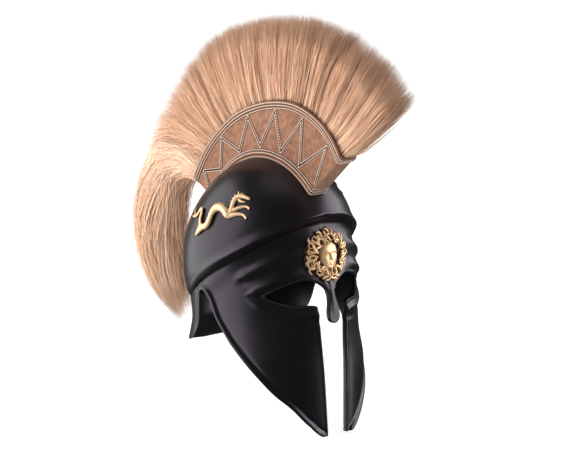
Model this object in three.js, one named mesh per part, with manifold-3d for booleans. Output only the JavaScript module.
// Italo-Corinthian helmet with a leather crest box, a hair crest and brass ornaments.
// Millimetres. +X is the wearer's left, -Y is the way the face looks, +Z is up.
// Sizes are given in the helmet's own terms, x to the left, forward and up from the centre of the
// skull ring, and spot() turns them into the part's frame, whose origin is the inside of the crown.

import * as THREE from 'three';
import { mergeVertices } from 'three/addons/utils/BufferGeometryUtils.js';
import Module from 'manifold-3d';

const wasm = await Module();
wasm.setup();

const gap = 0.3;
const rad = Math.PI / 180;

// Shell
const sheet = 2.2;
const dome = {
  halfWidth: 96,
  front: 113,
  back: 112,
  frontFullness: 2.0,
  backFullness: 2.2,
  equator: -21.6,
  rise: 125.4,
  crownFullness: 2.1,
};
const brim = { height: 14 };
const lean = { forward: 10, from: -22, over: 90 };
const crown = { forward: 10, up: dome.equator + dome.rise - sheet };
const ledge = { inward: 5, down: 11, fade: 30 };
const shellGrid = { columns: 52, domeRows: 8, wallRows: 8, bottom: -228 };
const cut = { near: 30, far: 170, halfWidth: 140, below: -260 };

// Height of the ridge round the dome and how far its lip turns out, by the angle from the brow
const ridge = [
  { angle: 0, up: 50.8, out: 0.8 },
  { angle: 19, up: 45.8, out: 2 },
  { angle: 46, up: 25.7, out: 3.6 },
  { angle: 54, up: 17.5, out: 4.8 },
  { angle: 70, up: 0.5, out: 5.6 },
  { angle: 94, up: -24.8, out: 3 },
  { angle: 120, up: -52, out: 0.6 },
  { angle: 150, up: -66, out: 0.5 },
  { angle: 180, up: -70, out: 0.5 },
];

// Level sections of the wall below the ridge
const wall = [
  { up: -228, halfWidth: 84.5, front: 131, back: 112, frontFullness: 2.4, backFullness: 2.4 },
  { up: -135, halfWidth: 90, front: 126, back: 102, frontFullness: 2.45, backFullness: 2.4 },
  { up: -95, halfWidth: 89, front: 123.5, back: 92, frontFullness: 2.15, backFullness: 2.3 },
  { up: -58, halfWidth: 91, front: 121.5, back: 91, frontFullness: 2.05, backFullness: 2.3 },
  { up: -30, halfWidth: 91, front: 113, back: 93, frontFullness: 2.3, backFullness: 2.3 },
  { up: 0, halfWidth: 90, front: 102, back: 98, frontFullness: 2.5, backFullness: 2.2 },
  { up: 45, halfWidth: 88, front: 99, back: 100, frontFullness: 2.4, backFullness: 2.2 },
  { up: 60, halfWidth: 86, front: 96, back: 100, frontFullness: 2.4, backFullness: 2.2 },
];

// Edge of the face opening on the wearer's left, seen from the front, from the nasal to the slit's foot
const faceOpening = [
  { x: 0, up: -77 },
  { x: 4.6, up: -75.5 },
  { x: 7.8, up: -70 },
  { x: 7.8, up: -62 },
  { x: 5.6, up: -52 },
  { x: 4.8, up: -42 },
  { x: 8, up: -34 },
  { x: 16, up: -28 },
  { x: 25, up: -24 },
  { x: 36, up: -24 },
  { x: 50, up: -28.5 },
  { x: 62, up: -35 },
  { x: 71, up: -43 },
  { x: 66, up: -47 },
  { x: 54, up: -51.5 },
  { x: 42, up: -53.5 },
  { x: 30, up: -54.5 },
  { x: 21.5, up: -57 },
  { x: 18.5, up: -95 },
  { x: 16, up: -150 },
  { x: 13, up: -240 },
];

// Lower edge of the shell, seen from the side, from the cheek's point to the back of the neck guard
const lowerEdge = [
  { forward: 160, up: -214 },
  { forward: 128, up: -212 },
  { forward: 121, up: -193 },
  { forward: 110, up: -173 },
  { forward: 94, up: -156.5 },
  { forward: 74, up: -136.5 },
  { forward: 48, up: -115 },
  { forward: 33, up: -102.5 },
  { forward: 14, up: -81 },
  { forward: 7, up: -67 },
  { forward: 0, up: -54.5 },
  { forward: -6, up: -49 },
  { forward: -12, up: -48.5 },
  { forward: -17, up: -53 },
  { forward: -20, up: -63 },
  { forward: -24, up: -78 },
  { forward: -27, up: -90 },
  { forward: -33, up: -102 },
  { forward: -44, up: -113.5 },
  { forward: -61, up: -120.5 },
  { forward: -78, up: -126 },
  { forward: -90, up: -132 },
  { forward: -98, up: -139.5 },
  { forward: -103, up: -144 },
  { forward: -160, up: -160 },
];

// Crest box, by the angle up from straight ahead, about the middle of the dome's own arc
const crestCentre = { forward: 10.8, up: -14.5 };
const box = {
  halfThick: 11,
  frontTop: 45.4,
  frontFoot: 48,
  backTop: 154.5,
  backFoot: 156.4,
  root: 108,
  edge: 1.2,
  wallThick: 2.8,
  channel: 8,
  channelEnd: 1.2,
  open: 6,
  overRim: 20,
  steps: 20,
};
const boxTop = [
  { angle: 30, out: 180 },
  { angle: 45, out: 190.5 },
  { angle: 55, out: 197 },
  { angle: 63, out: 198 },
  { angle: 75, out: 194.6 },
  { angle: 88, out: 186 },
  { angle: 98, out: 180 },
  { angle: 110, out: 174.5 },
  { angle: 124, out: 169 },
  { angle: 148, out: 166 },
  { angle: 160, out: 167 },
];
const domeReach = 117;
const footBand = { height: 10, proud: 2.2 };
const rimBand = { height: 9.5, proud: 1.8 };
const bandEnds = { front: 0.33, back: -0.3, core: 0.15, edge: 0.9 };

// Zigzag on the box's side: where each corner lies along the arc, and 0 at the foot to 1 at the rim
const zigzag = [
  { angle: 153.2, rise: 0.02 },
  { angle: 147, rise: 0.86 },
  { angle: 136, rise: 0.04 },
  { angle: 125.2, rise: 0.98 },
  { angle: 115, rise: 0.05 },
  { angle: 103.3, rise: 0.98 },
  { angle: 96.3, rise: 0.06 },
  { angle: 85.5, rise: 0.98 },
  { angle: 79, rise: 0.06 },
  { angle: 69.5, rise: 0.96 },
  { angle: 63, rise: 0.05 },
  { angle: 53.5, rise: 0.94 },
  { angle: 48.4, rise: 0.08 },
];
const strip = { width: 4.2, thick: 1.1, ends: 0.6, inset: 1, mitre: 2.4 };

// Hair, by the same angle: how far out its tips reach
const hairReach = [
  { angle: 38, out: 322 },
  { angle: 50, out: 320 },
  { angle: 62, out: 311 },
  { angle: 75, out: 298 },
  { angle: 87, out: 286 },
  { angle: 98, out: 279 },
  { angle: 110, out: 275.5 },
  { angle: 121, out: 270 },
  { angle: 132, out: 264 },
  { angle: 144, out: 266 },
  { angle: 156, out: 268 },
];
const hairCut = {
  parting: 150,
  split: 0.2,
  front: 20,
  back: 190,
  clear: 8,
  reach: 360,
  halfWidth: 70,
  steps: 8,
};
const plume = {
  rootFront: 46,
  rootBack: 150,
  tipFront: 42.5,
  tipBack: 150,
  bow: { most: 5.5, over: 0.12, rise: 0.65 },
  locks: 13,
  stagger: 0.15,
  rootHalf: 5.2,
  spread: 5.3,
  splay: 8.1,
  lift: 1.5,
  rootHeight: 30,
  uneven: 4,
  sides: 5,
};
const keepOut = { front: 2, back: 0.2, side: 4 };
const plumeLocks = [
  { t: 0, wide: 0.9, out: 0.1 },
  { t: 0.35, wide: 1.2, out: 0.45 },
  { t: 0.78, wide: 1.15, out: 0.9 },
  { t: 0.93, wide: 0.75, out: 1 },
];

// Course of the hanging tail, with its half width across and its half depth
const tailCourse = [
  { forward: -124, up: 58, across: 7.2, deep: 9 },
  { forward: -146, up: 70, across: 11, deep: 17 },
  { forward: -174, up: 76, across: 19, deep: 26 },
  { forward: -202, up: 62, across: 24, deep: 32 },
  { forward: -220, up: 30, across: 26, deep: 35 },
  { forward: -228, up: -12, across: 27, deep: 35 },
  { forward: -222, up: -56, across: 26, deep: 33 },
  { forward: -199, up: -97, across: 19, deep: 26 },
  { forward: -178, up: -130, across: 9, deep: 10 },
];
const tailLocks = {
  count: 7,
  half: 12,
  share: 0.75,
  taper: 0.35,
  ring: 0.66,
  uneven: 12,
  core: 0.86,
  tip: { ahead: 6, down: 22 },
  sides: 5,
  coreSides: 8,
};

// Brow mask
const mask = {
  halfWidth: 29,
  halfHeight: 31,
  up: 2.5,
  thick: 3.5,
  rimRise: 3.2,
  faceRise: 3.4,
  curlRise: 1.6,
  curls: 10,
  scallop: 0.035,
  depth: 6,
  rings: 11,
  spokes: 38,
};
const maskFace = { halfWidth: 0.52, halfHeight: 0.66, up: -0.02 };
const maskNose = { rise: 1.7, half: 0.085, top: 0.16, slope: 0.4, tip: -0.2, round: 0.06 };

// The mask's other features, mirrored in its middle line
const maskFeatures = [
  { name: 'eye', rise: -1.1, side: 0.19, up: 0.08, wide: 0.1, tall: 0.06 },
  { name: 'brow', rise: 0.6, side: 0.2, up: 0.2, wide: 0.16, tall: 0.05 },
  { name: 'lip', rise: 0.7, side: 0, up: -0.32, wide: 0.13, tall: 0.05 },
];

const dragonForm = { sides: 5, lift: 0.9, stand: 0.6, flat: 0.9 };

// Sea dragon on the dome's side: its course and girth, from the tail's fork to the snout
const dragonBody = [
  { forward: -50, up: 36, half: 1.2 },
  { forward: -42, up: 33, half: 1.8 },
  { forward: -34, up: 36, half: 2.2 },
  { forward: -26, up: 44, half: 2.5 },
  { forward: -21, up: 39, half: 2.9 },
  { forward: -18, up: 30, half: 3.2 },
  { forward: -9, up: 27, half: 3.6 },
  { forward: -2, up: 32, half: 4.0 },
  { forward: -1, up: 42, half: 4.4 },
  { forward: 3, up: 51, half: 4.8 },
  { forward: 11, up: 53, half: 5.0 },
  { forward: 20, up: 51, half: 5.0 },
  { forward: 28, up: 45.5, half: 4.6 },
  { forward: 29, up: 53, half: 4.2 },
  { forward: 27, up: 60, half: 3.8 },
  { forward: 30, up: 66, half: 3.8 },
  { forward: 45, up: 66.5, half: 1.9 },
];
const dragonLimbs = [
  [
    { forward: 28, up: 49, half: 3.4 },
    { forward: 37, up: 55, half: 2.5 },
    { forward: 47, up: 57.5, half: 2.0 },
    { forward: 51, up: 55, half: 2.3 },
  ],
  [
    { forward: 26, up: 43, half: 3.4 },
    { forward: 37, up: 48.5, half: 2.6 },
    { forward: 47, up: 48.5, half: 2.0 },
    { forward: 52, up: 44, half: 2.4 },
  ],
  [
    { forward: -11, up: 28, half: 2.9 },
    { forward: -18, up: 21, half: 2.8 },
    { forward: -25, up: 14, half: 1.3 },
  ],
  [
    { forward: -35, up: 34, half: 1.8 },
    { forward: -42, up: 38, half: 1.8 },
    { forward: -47, up: 42, half: 1.1 },
  ],
];

const finish = {
  blackSteel: new THREE.MeshStandardMaterial({ color: 0x1d1c20, metalness: 0.2, roughness: 0.38 }),
  suede: new THREE.MeshStandardMaterial({ color: 0xa67e60, metalness: 0, roughness: 0.95 }),
  hair: new THREE.MeshStandardMaterial({ color: 0xcfa27c, metalness: 0, roughness: 0.7 }),
  brass: new THREE.MeshStandardMaterial({ color: 0xd9a860, metalness: 0.9, roughness: 0.35 }),
};

// The helmet's own terms to the part's frame
function spot(x, forward, up) {
  return new THREE.Vector3(x, crown.forward - forward, up - crown.up);
}

// A column of a table at any place along its key, on a smooth curve through its rows
function along(table, key, value, column) {
  const last = table.length - 1;
  const rising = table[last][key] > table[0][key];
  let i = 0;
  while (i < last - 1 && (rising ? table[i + 1][key] < value : table[i + 1][key] > value)) i += 1;
  const t = THREE.MathUtils.clamp((value - table[i][key]) / (table[i + 1][key] - table[i][key]), 0, 1);
  const slope = (k) => {
    const a = table[Math.max(k - 1, 0)];
    const b = table[Math.min(k + 1, last)];
    return (b[column] - a[column]) / (b[key] - a[key]);
  };
  const span = table[i + 1][key] - table[i][key];
  const rise = table[i + 1][column] - table[i][column];
  const m0 = slope(i) * span;
  const m1 = slope(i + 1) * span;
  return table[i][column] + m0 * t + (3 * rise - 2 * m0 - m1) * t * t + (m0 + m1 - 2 * rise) * t * t * t;
}

function manifoldOf(geometry) {
  const bare = geometry.clone();
  bare.deleteAttribute('normal');
  bare.deleteAttribute('uv');
  const merged = mergeVertices(bare, 1e-4);
  const vertProperties = new Float32Array(merged.attributes.position.array);
  const triVerts = new Uint32Array(merged.index.array);
  const made = new wasm.Manifold(new wasm.Mesh({ numProp: 3, vertProperties, triVerts }));
  if (made.volume() > 0) return made;
  for (let i = 0; i < triVerts.length; i += 3) {
    [triVerts[i + 1], triVerts[i + 2]] = [triVerts[i + 2], triVerts[i + 1]];
  }
  return new wasm.Manifold(new wasm.Mesh({ numProp: 3, vertProperties, triVerts }));
}

function geometryOf(manifold) {
  const { vertProperties, triVerts } = manifold.getMesh();
  const geometry = new THREE.BufferGeometry();
  geometry.setAttribute('position', new THREE.BufferAttribute(vertProperties, 3));
  geometry.setIndex(new THREE.BufferAttribute(triVerts, 1));
  return geometry;
}

// A closed skin over rings of points, each end drawn together to one point
function skin(startPoint, rings, endPoint) {
  const count = rings[0].length;
  const points = [startPoint, ...rings.flat(), endPoint];
  const index = [];
  const at = (ring, k) => 1 + ring * count + (k % count);
  for (let k = 0; k < count; k += 1) {
    index.push(0, at(0, k + 1), at(0, k));
    index.push(points.length - 1, at(rings.length - 1, k), at(rings.length - 1, k + 1));
  }
  for (let ring = 0; ring < rings.length - 1; ring += 1) {
    for (let k = 0; k < count; k += 1) {
      index.push(at(ring, k), at(ring, k + 1), at(ring + 1, k));
      index.push(at(ring, k + 1), at(ring + 1, k + 1), at(ring + 1, k));
    }
  }
  const geometry = new THREE.BufferGeometry();
  const position = new Float32Array(points.flatMap((p) => p.toArray()));
  geometry.setAttribute('position', new THREE.BufferAttribute(position, 3));
  geometry.setIndex(index);
  return manifoldOf(geometry);
}

// An outline drawn in the forward and up plane, given its thickness across the helmet
function sideways(outline, halfThick, edge = 0) {
  const shape = new THREE.Shape(outline.map((p) => new THREE.Vector2(p.forward, p.up)));
  const geometry = new THREE.ExtrudeGeometry(shape, {
    depth: 2 * (halfThick - edge),
    bevelEnabled: edge > 0,
    bevelThickness: edge,
    bevelSize: edge,
    bevelOffset: -edge,
    bevelSegments: 1,
    steps: 1,
  });
  geometry.translate(0, 0, edge - halfThick);
  geometry.applyMatrix4(
    new THREE.Matrix4().makeBasis(
      new THREE.Vector3(0, -1, 0),
      new THREE.Vector3(0, 0, 1),
      new THREE.Vector3(-1, 0, 0),
    ),
  );
  const base = spot(0, 0, 0);
  geometry.translate(base.x, base.y, base.z);
  return manifoldOf(geometry);
}

// An outline drawn as seen from the front, pushed through the helmet from one reach to another
function frontways(outline, from, to) {
  const shape = new THREE.Shape(outline.map((p) => new THREE.Vector2(p.x, p.up)));
  const geometry = new THREE.ExtrudeGeometry(shape, { depth: to - from, bevelEnabled: false, steps: 1 });
  geometry.translate(0, 0, from);
  geometry.applyMatrix4(
    new THREE.Matrix4().makeBasis(
      new THREE.Vector3(1, 0, 0),
      new THREE.Vector3(0, 0, 1),
      new THREE.Vector3(0, -1, 0),
    ),
  );
  const base = spot(0, 0, 0);
  geometry.translate(base.x, base.y, base.z);
  return manifoldOf(geometry);
}

function roundness(angle, halfWidth, reach, fullness) {
  const side = Math.abs(Math.sin(angle)) / halfWidth;
  const ahead = Math.abs(Math.cos(angle)) / reach;
  return (side ** fullness + ahead ** fullness) ** (-1 / fullness);
}

function domeRadius(angle, up, inset) {
  const side = Math.cos(angle) > 0 ? 'front' : 'back';
  const level = Math.min(Math.abs(up - dome.equator) / (dome.rise - inset), 1);
  const shrink = (1 - level ** dome.crownFullness) ** (1 / dome.crownFullness);
  const halfWidth = dome.halfWidth - inset;
  const reach = dome[side] - inset;
  const plain = roundness(angle, halfWidth, reach, dome[side + 'Fullness']) * shrink;
  const nearLip = THREE.MathUtils.clamp(1 - (up - ridgeAt(angle, 'up')) / brim.height, 0, 1);
  return plain + ridgeAt(angle, 'out') * nearLip * nearLip;
}

function wallRadius(angle, up) {
  const side = Math.cos(angle) > 0 ? 'front' : 'back';
  const level = THREE.MathUtils.clamp(up, wall[0].up, wall[wall.length - 1].up);
  return roundness(
    angle,
    along(wall, 'up', level, 'halfWidth'),
    along(wall, 'up', level, side),
    along(wall, 'up', level, side + 'Fullness'),
  );
}

function ridgeAt(angle, column) {
  const turn = Math.abs(Math.atan2(Math.sin(angle), Math.cos(angle))) / rad;
  return along(ridge, 'angle', turn, column);
}

function ease(t) {
  const s = THREE.MathUtils.clamp(t, 0, 1);
  return s * s * (3 - 2 * s);
}

function leanAt(up) {
  return lean.forward * ease((up - lean.from) / lean.over);
}

// Distance of the shell's skin from its axis, inset towards the wearer's head
function shellRadius(angle, up, inset) {
  const lip = ridgeAt(angle, 'up');
  if (up >= lip) return domeRadius(angle, up, inset);
  const lipRadius = domeRadius(angle, lip, inset);
  if (up >= lip - ledge.down) return lipRadius - (ledge.inward * (lip - up)) / ledge.down;
  const crease = lip - ledge.down;
  const carried = lipRadius - ledge.inward - (wallRadius(angle, crease) - inset);
  return wallRadius(angle, up) - inset + carried * (1 - ease((crease - up) / ledge.fade));
}

function shellSpot(angle, up, inset) {
  const out = shellRadius(angle, up, inset);
  return spot(out * Math.sin(angle), leanAt(up) + out * Math.cos(angle), up);
}

// Rings of the shell's skin from the crown down to its lowest level
function shellRings(inset, bottom) {
  const rings = [];
  const ring = (upAt) => {
    const points = [];
    for (let k = 0; k < shellGrid.columns; k += 1) {
      const angle = (2 * Math.PI * k) / shellGrid.columns;
      points.push(shellSpot(angle, upAt(angle), inset));
    }
    rings.push(points);
  };
  for (let i = 1; i <= shellGrid.domeRows; i += 1) {
    ring((angle) => {
      const rise = dome.rise - inset;
      const lipTurn = Math.acos((ridgeAt(angle, 'up') - dome.equator) / rise);
      return dome.equator + rise * Math.cos((lipTurn * i) / shellGrid.domeRows);
    });
  }
  for (let i = 0; i <= shellGrid.wallRows; i += 1) {
    ring((angle) => {
      const crease = ridgeAt(angle, 'up') - ledge.down - 0.01;
      return crease + ((bottom - crease) * i) / shellGrid.wallRows;
    });
  }
  return rings;
}

function crownSpot(inset) {
  const up = dome.equator + dome.rise - inset;
  return spot(0, leanAt(up), up);
}

// The room that the whole shell takes up, grown by a clearance
function shellRoom(clearance) {
  const rings = shellRings(-clearance, shellGrid.bottom);
  return skin(crownSpot(-clearance), rings, spot(0, 0, shellGrid.bottom));
}

function helmetShell() {
  const outside = shellRings(0, shellGrid.bottom);
  const inside = shellRings(sheet, shellGrid.bottom).reverse();
  const blank = skin(crownSpot(0), [...outside, ...inside], crownSpot(sheet));
  const right = faceOpening.map((p) => ({ x: -p.x, up: p.up }));
  const opening = [...faceOpening.slice(1).reverse(), ...right];
  const below = [...lowerEdge, { forward: -160, up: cut.below }, { forward: 160, up: cut.below }];
  return blank.subtract(frontways(opening, cut.near, cut.far)).subtract(sideways(below, cut.halfWidth));
}

function crestSpot(angle, out) {
  return {
    forward: crestCentre.forward + out * Math.cos(angle * rad),
    up: crestCentre.up + out * Math.sin(angle * rad),
  };
}

// Where a share of the way from the box's front end to its back end lies, at a reach from the centre
function crestAngle(share, reach, frontPast, backPast) {
  const high = (reach - box.root) / (boxTop[1].out - box.root);
  const front = box.frontFoot + (box.frontTop - box.frontFoot) * high - frontPast;
  const back = box.backFoot + (box.backTop - box.backFoot) * high + backPast;
  return front + (back - front) * share;
}

// An outline between two reaches along the crest's arc, its ends slanted as the box's ends are.
// The ends lie past the box's own by so many degrees, or short of them where that is below zero.
function crestOutline(frontPast, backPast, lowAt, highAt) {
  const edge = (reachAt, share) => {
    const rough = reachAt(crestAngle(share, box.root, frontPast, backPast));
    const reach = reachAt(crestAngle(share, rough, frontPast, backPast));
    return crestSpot(crestAngle(share, reach, frontPast, backPast), reach);
  };
  const low = [];
  const high = [];
  for (let i = 0; i <= box.steps; i += 1) {
    low.push(edge(lowAt, i / box.steps));
    high.push(edge(highAt, i / box.steps));
  }
  return [...low.reverse(), ...high];
}

const topAt = (angle) => along(boxTop, 'angle', angle, 'out');
const rootAt = () => box.root;

function crestPiece(frontPast, backPast, lowAt, highAt, halfThick, edge = 0) {
  return sideways(crestOutline(frontPast, backPast, lowAt, highAt), halfThick, edge);
}

function crestBox() {
  const body = crestPiece(0, 0, rootAt, topAt, box.halfThick, box.edge);
  const floorAt = (angle) => topAt(angle) - box.channel;
  const skyAt = (angle) => topAt(angle) + box.overRim;
  const channel = crestPiece(-box.channelEnd, box.open, floorAt, skyAt, box.halfThick - box.wallThick);
  return body.subtract(channel).subtract(shellRoom(gap));
}

// A raised band round the box, between two reaches
function crestBand(lowAt, highAt, proud) {
  const front = proud * bandEnds.front;
  const band = crestPiece(front, bandEnds.back, lowAt, highAt, box.halfThick + proud, bandEnds.edge);
  const skyAt = (angle) => topAt(angle) + box.overRim;
  const core = crestPiece(bandEnds.core, box.open, rootAt, skyAt, box.halfThick + gap);
  return band.subtract(core).subtract(shellRoom(gap));
}

function crestFootBand() {
  return crestBand(rootAt, () => domeReach + footBand.height, footBand.proud);
}

function crestRimBand() {
  return crestBand((angle) => topAt(angle) - rimBand.height, topAt, rimBand.proud);
}

function zigzagStrip(side) {
  const low = domeReach + footBand.height + strip.inset;
  const line = zigzag.map((row) => {
    const high = topAt(row.angle) - rimBand.height - strip.inset;
    const p = crestSpot(row.angle, low + (high - low) * row.rise);
    return new THREE.Vector2(p.forward, p.up);
  });
  const edge = (hand) =>
    line.map((p, i) => {
      const before = p.clone().sub(line[Math.max(i - 1, 0)]).normalize();
      const after = line[Math.min(i + 1, line.length - 1)].clone().sub(p).normalize();
      const way = before.add(after).normalize();
      const normal = new THREE.Vector2(-way.y, way.x);
      const leg = i === 0 ? after : p.clone().sub(line[i - 1]).normalize();
      const mitre = Math.min(1 / Math.abs(way.dot(leg)), strip.mitre);
      const q = p.clone().addScaledVector(normal, (hand * mitre * strip.width) / 2);
      return { forward: q.x, up: q.y };
    });
  const outline = [...edge(1), ...edge(-1).reverse()];
  const panelLow = () => domeReach + footBand.height + gap;
  const panelHigh = (angle) => topAt(angle) - rimBand.height - gap;
  const panel = crestPiece(-strip.ends, -strip.ends, panelLow, panelHigh, strip.thick);
  const raised = sideways(outline, strip.thick / 2).intersect(panel);
  return raised.translate([side * (box.halfThick + gap + strip.thick / 2), 0, 0]).subtract(shellRoom(gap));
}

// A tapered lock of hair through stations of centre, half width across and half width along
function lock(stations, sides) {
  const rings = stations.map(({ centre, across, deep }) => {
    const points = [];
    for (let k = 0; k < sides; k += 1) {
      const turn = (2 * Math.PI * k) / sides;
      points.push(
        centre
          .clone()
          .addScaledVector(across, Math.cos(turn))
          .addScaledVector(deep, Math.sin(turn)),
      );
    }
    return points;
  });
  const last = stations[stations.length - 1];
  return skin(stations[0].centre, rings, last.tip || last.centre);
}

function plumeLock(place, layer, number) {
  const rootAngle = plume.rootFront + (plume.rootBack - plume.rootFront) * place;
  const tipAngle = plume.tipFront + (plume.tipBack - plume.tipFront) * place;
  const base = topAt(rootAngle) - box.channel + plume.lift;
  const short = plume.uneven * (1 - Math.sin(number * 2.4 + layer));
  const tip = along(hairReach, 'angle', tipAngle, 'out') - short;
  const halfStep = ((plume.tipBack - plume.tipFront) / plume.locks / 2) * rad;
  const bow = plume.bow.most * Math.exp(-place / plume.bow.over);
  const placeAt = (t, out) => {
    const angle = rootAngle + (tipAngle - rootAngle) * t - bow * Math.sin(Math.PI * t ** plume.bow.rise);
    const q = crestSpot(angle, base + (tip - base) * t);
    return spot(layer * plume.splay * out, q.forward, q.up);
  };
  const stations = plumeLocks.map((row) => {
    const reach = base + (tip - base) * row.t;
    const turn = tipAngle * rad;
    const tangent = new THREE.Vector3(0, Math.sin(turn), Math.cos(turn));
    const half = plume.rootHalf + plume.spread * row.out;
    return {
      centre: placeAt(row.t, row.out),
      across: new THREE.Vector3(half, 0, 0),
      deep: tangent.multiplyScalar(halfStep * reach * row.wide),
    };
  });
  stations[stations.length - 1].tip = placeAt(1, 1);
  return lock(stations, plume.sides);
}

function crestPlume() {
  const floorAt = (angle) => topAt(angle) - box.channel + gap;
  const skyAt = (angle) => topAt(angle) + plume.rootHeight;
  const half = box.halfThick - box.wallThick - gap;
  const root = crestPiece(-box.channelEnd - hairCut.split, 0, floorAt, skyAt, half);
  const locks = [root];
  for (let i = 0; i < plume.locks; i += 1) {
    locks.push(plumeLock((i + 0.5 - plume.stagger) / plume.locks, -1, i));
    locks.push(plumeLock((i + 0.5 + plume.stagger) / plume.locks, 1, i));
  }
  return wasm.Manifold.union(locks)
    .subtract(crestKeepOut())
    .subtract(hairWedge(hairCut.parting, hairCut.back));
}

// A sector of the crest's plane, from one angle to another, wide enough to cut the hair
function hairWedge(from, to) {
  const near = box.root + hairCut.clear;
  const outline = [crestSpot(to, near), crestSpot(from, near)];
  for (let i = 0; i <= hairCut.steps; i += 1) {
    outline.push(crestSpot(from + ((to - from) * i) / hairCut.steps, hairCut.reach));
  }
  return sideways(outline, hairCut.halfWidth);
}

// Everything that the hair must stay clear of at the box
function crestKeepOut() {
  const skyAt = (angle) => topAt(angle) + gap;
  const body = crestPiece(keepOut.front, keepOut.back, rootAt, skyAt, box.halfThick + keepOut.side);
  const floorAt = (angle) => topAt(angle) - box.channel + gap;
  const openAt = (angle) => topAt(angle) + box.overRim;
  const half = box.halfThick - box.wallThick - gap;
  const slot = crestPiece(-box.channelEnd - hairCut.split, box.open, floorAt, openAt, half);
  return body.subtract(slot);
}

function tailStation(i) {
  const row = tailCourse[i];
  const before = tailCourse[Math.max(i - 1, 0)];
  const after = tailCourse[Math.min(i + 1, tailCourse.length - 1)];
  const way = new THREE.Vector2(after.forward - before.forward, after.up - before.up).normalize();
  return { row, side: { forward: -way.y, up: way.x } };
}

function tailLock(turn, number) {
  const stations = tailCourse.map((_, i) => {
    const { row, side } = tailStation(i);
    const late = i / (tailCourse.length - 1);
    const shift = row.deep * Math.sin(turn) * tailLocks.ring;
    const half = Math.min(tailLocks.half, row.across * tailLocks.share) * (1 - tailLocks.taper * late);
    const drop = late * tailLocks.uneven * Math.sin(number * 1.9);
    return {
      centre: spot(
        row.across * Math.cos(turn) * tailLocks.ring,
        row.forward + side.forward * shift,
        row.up + side.up * shift - drop,
      ),
      across: new THREE.Vector3(half, 0, 0),
      deep: new THREE.Vector3(0, -side.forward, side.up).multiplyScalar(half),
    };
  });
  const end = stations[stations.length - 1];
  end.tip = end.centre.clone().add(new THREE.Vector3(0, -tailLocks.tip.ahead, -tailLocks.tip.down));
  return lock(stations, tailLocks.sides);
}

function crestTail() {
  const core = lock(
    tailCourse.map((_, i) => {
      const { row, side } = tailStation(i);
      return {
        centre: spot(0, row.forward, row.up),
        across: new THREE.Vector3(row.across * tailLocks.core, 0, 0),
        deep: new THREE.Vector3(0, -side.forward, side.up).multiplyScalar(row.deep * tailLocks.core),
      };
    }),
    tailLocks.coreSides,
  );
  const parts = [core];
  for (let i = 0; i < tailLocks.count; i += 1) {
    parts.push(tailLock((2 * Math.PI * i) / tailLocks.count, i));
  }
  return wasm.Manifold.union(parts)
    .subtract(hairWedge(hairCut.front, hairCut.parting + hairCut.split))
    .subtract(crestKeepOut())
    .subtract(shellRoom(gap));
}

// Height of the mask's casting above its ground, by place in its oval from -1 to 1
function maskRelief(side, rise) {
  const out = Math.hypot(side, rise);
  const turn = Math.atan2(side, rise);
  const curls = mask.curlRise * Math.cos(turn * mask.curls + 5 * out) * ease((out - 0.5) / 0.2);
  const rim = mask.rimRise * (1 - ease((out - 0.72) / 0.3));
  const wide = side / maskFace.halfWidth;
  const tall = (rise - maskFace.up) / maskFace.halfHeight;
  const face = Math.sqrt(Math.max(0, 1 - wide * wide - tall * tall));
  const ground = mask.thick + rim + mask.faceRise * face + curls;
  if (face < 0.2) return ground;
  const bridge = ease((maskNose.top - rise) / maskNose.slope) * ease((rise - maskNose.tip) / maskNose.round);
  const nose = maskNose.rise * Math.exp(-((side / maskNose.half) ** 2)) * bridge;
  const features = maskFeatures.map((row) => {
    const across = (Math.abs(side) - row.side) / row.wide;
    const above = (rise - row.up) / row.tall;
    return row.rise * Math.exp(-across * across - above * above);
  });
  return features.reduce((sum, lift) => sum + lift, ground + nose);
}

function gorgonMask() {
  const front = [];
  const back = [];
  const surface = (side, rise, lift) => {
    const x = side * mask.halfWidth;
    const up = mask.up + rise * mask.halfHeight;
    let angle = 0;
    for (let i = 0; i < 6; i += 1) angle = Math.asin(x / shellRadius(angle, up, 0));
    return spot(x, leanAt(up) + shellRadius(angle, up, 0) * Math.cos(angle) + lift, up);
  };
  for (let ring = 1; ring <= mask.rings; ring += 1) {
    const out = ring / mask.rings;
    const frontRing = [];
    const backRing = [];
    for (let k = 0; k < mask.spokes; k += 1) {
      const turn = (2 * Math.PI * k) / mask.spokes;
      const wave = ring < mask.rings ? 1 : 1 + mask.scallop * Math.cos(turn * mask.curls + 5);
      const side = out * wave * Math.sin(turn);
      const rise = out * wave * Math.cos(turn);
      frontRing.push(surface(side, rise, maskRelief(side, rise)));
      backRing.push(surface(side, rise, -mask.depth));
    }
    front.push(frontRing);
    back.push(backRing);
  }
  const rings = [...front, back[mask.rings - 1]];
  const cast = skin(surface(0, 0, maskRelief(0, 0)), rings, surface(0, 0, -mask.depth));
  return cast.subtract(shellRoom(gap));
}

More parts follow.
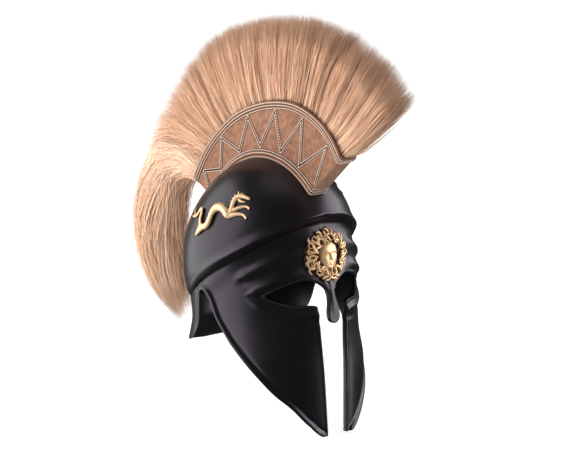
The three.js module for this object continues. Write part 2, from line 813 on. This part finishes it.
// A point on the dome's side at a forward and up place, lifted off it
function domeSide(forward, up, lift, side) {
  const ahead = forward - leanAt(up);
  let out = 0;
  for (let turn = 0; turn < 180; turn += 0.5) {
    const here = domeRadius(turn * rad, up, -lift) * Math.cos(turn * rad);
    if (here >= ahead) out = turn;
  }
  const angle = out * rad;
  return spot(side * domeRadius(angle, up, -lift) * Math.sin(angle), forward, up);
}

function dragonTube(course, side) {
  const centres = course.map((row) => {
    const lift = dragonForm.lift + dragonForm.stand * row.half;
    return domeSide(row.forward, row.up, lift, side);
  });
  const rings = course.map((row, i) => {
    const before = centres[Math.max(i - 1, 0)];
    const after = centres[Math.min(i + 1, centres.length - 1)];
    const way = after.clone().sub(before).normalize();
    const outward = domeSide(row.forward, row.up, row.half, side).sub(domeSide(row.forward, row.up, 0, side));
    const across = new THREE.Vector3().crossVectors(way, outward).normalize();
    const off = new THREE.Vector3().crossVectors(across, way).normalize();
    const points = [];
    for (let k = 0; k < dragonForm.sides; k += 1) {
      const turn = (2 * Math.PI * k) / dragonForm.sides;
      points.push(
        centres[i]
          .clone()
          .addScaledVector(across, row.half * Math.cos(turn))
          .addScaledVector(off, row.half * dragonForm.flat * Math.sin(turn)),
      );
    }
    return points;
  });
  return skin(centres[0], rings, centres[centres.length - 1]);
}

function seaDragon(side) {
  const parts = [dragonTube(dragonBody, side)];
  for (const limb of dragonLimbs) parts.push(dragonTube(limb, side));
  return wasm.Manifold.union(parts).subtract(shellRoom(gap));
}

const helmet = new THREE.Group();

function add(name, manifold, material) {
  const mesh = new THREE.Mesh(geometryOf(manifold), material);
  mesh.name = name;
  helmet.add(mesh);
}

add('helmet_shell', helmetShell(), finish.blackSteel);
add('crest_box', crestBox(), finish.suede);
add('crest_foot_band', crestFootBand(), finish.suede);
add('crest_rim_band', crestRimBand(), finish.suede);
add('zigzag_strip_right', zigzagStrip(-1), finish.suede);
add('zigzag_strip_left', zigzagStrip(1), finish.suede);
add('crest_plume', crestPlume(), finish.hair);
add('crest_tail', crestTail(), finish.hair);
add('gorgon_mask', gorgonMask(), finish.brass);
add('sea_dragon_right', seaDragon(-1), finish.brass);
add('sea_dragon_left', seaDragon(1), finish.brass);

export default helmet;
